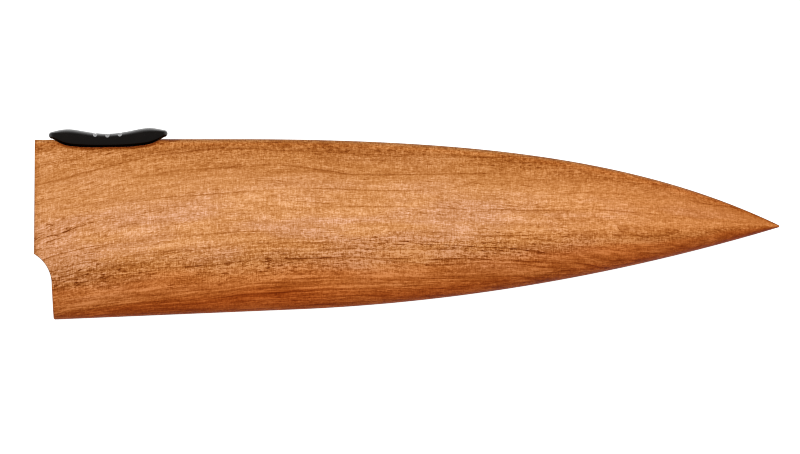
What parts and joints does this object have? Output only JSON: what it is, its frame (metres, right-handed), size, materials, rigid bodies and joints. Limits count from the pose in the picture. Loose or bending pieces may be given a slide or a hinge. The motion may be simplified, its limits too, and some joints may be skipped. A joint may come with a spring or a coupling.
{
  "type": "knife blade guard",
  "caption": "Wooden sheath for a chef's knife, slotted for the blade, with a black rocking thumb latch let into the spine beside the mouth.",
  "frame": {"origin": "bottom centre of the bounding box, with the guard lying on its back face", "axes": "+X from the mouth to the tip, +Y from the edge side to the spine with its latch, +Z out of the front face"},
  "size_m": [0.224, 0.057, 0.015],
  "materials": {
    "wood": "oiled reddish-brown wood, satin, with long straight grain",
    "dowel_wood": "plain pale dowel",
    "latch_plastic": "satin black moulding",
    "cradle_plastic": "matt black nylon",
    "steel": "bright drawn steel",
    "brass": "turned",
    "rubber": "soft matt rubber"
  },
  "bodies": {
    "guard": {"front_shell": "wood", "back_shell": "wood", "alignment_dowel_1": "dowel_wood", "alignment_dowel_2": "dowel_wood", "alignment_dowel_3": "dowel_wood", "latch_cradle": "cradle_plastic", "pivot_pin": "steel", "cradle_pin_rear": "steel", "cradle_pin_front": "steel", "return_spring": "steel"},
    "rocker": {"thumb_rocker": "latch_plastic", "pivot_bush": "brass", "brake_shoe": "rubber"}
  },
  "joints": [
    {"name": "rocker_pivot", "type": "hinge", "parent": "guard", "child": "rocker", "pos_m": [-0.0899, 0.02082, 0.0075], "axis": [0, 0, 1], "range_deg": [-4, 0], "stiffness_Nm_per_rad": 0.06, "springref_deg": 9.17, "deforming": ["return_spring"]}
  ]
}
